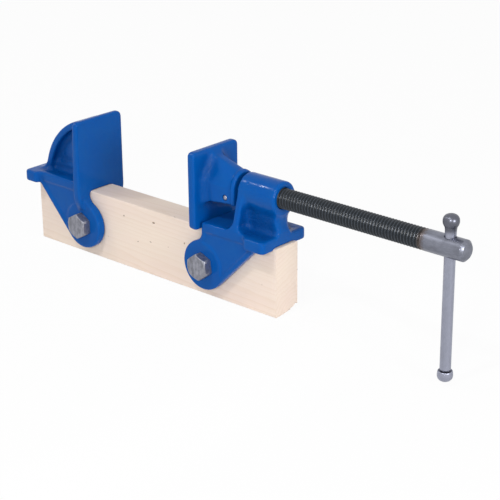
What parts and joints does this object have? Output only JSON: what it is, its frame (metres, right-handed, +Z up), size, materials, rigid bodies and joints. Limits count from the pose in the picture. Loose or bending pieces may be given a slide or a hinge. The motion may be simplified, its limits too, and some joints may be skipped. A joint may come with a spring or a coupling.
{
  "type": "bar clamp",
  "caption": "Pair of cast clamp heads bolted to a timber bar, with a screw and tommy bar that drive a sliding jaw pad.",
  "frame": {"origin": "centre of the timber bar's underside", "axes": "+X along the bar from the fixed head towards the screw's handle end, +Y towards the nuts' side, +Z up, from the bar to the jaws"},
  "size_m": [0.4344, 0.0623, 0.1292],
  "materials": {
    "pine": "planed, unfinished",
    "painted_casting": "gloss blue paint over cast iron",
    "black_steel": "black oxide with worn crests",
    "bright_steel": "bright drawn steel",
    "zinc_steel": "dull zinc plate"
  },
  "bodies": {
    "frame": {"timber_bar": "pine", "fixed_head": "painted_casting", "fixed_head_bolt": "zinc_steel", "fixed_head_nut": "zinc_steel", "screw_head": "painted_casting", "screw_head_bolt": "zinc_steel", "screw_head_nut": "zinc_steel"},
    "pad": {"jaw_pad": "painted_casting", "pad_retaining_pin": "bright_steel"},
    "screw": {"clamp_screw": "black_steel"},
    "tommy": {"tommy_bar": "bright_steel", "tommy_bar_cap": "bright_steel"}
  },
  "joints": [
    {"name": "pad_slide", "type": "slide", "parent": "frame", "child": "pad", "axis": [-1, 0, 0], "range_m": [-0.0015, 0.1243]},
    {"name": "screw_spin", "type": "hinge", "parent": "pad", "child": "screw", "pos_m": [0.1, 0, 0.0934], "axis": [-1, 0, 0], "range_deg": [-180, 16400]},
    {"name": "tommy_slide", "type": "slide", "parent": "screw", "child": "tommy", "axis": [0, 0, 1], "range_m": [-0.0045, 0.086]}
  ],
  "couplings": [
    {"joint": "pad_slide", "follows": "screw_spin", "m_per_rad": 0.0004329}
  ]
}
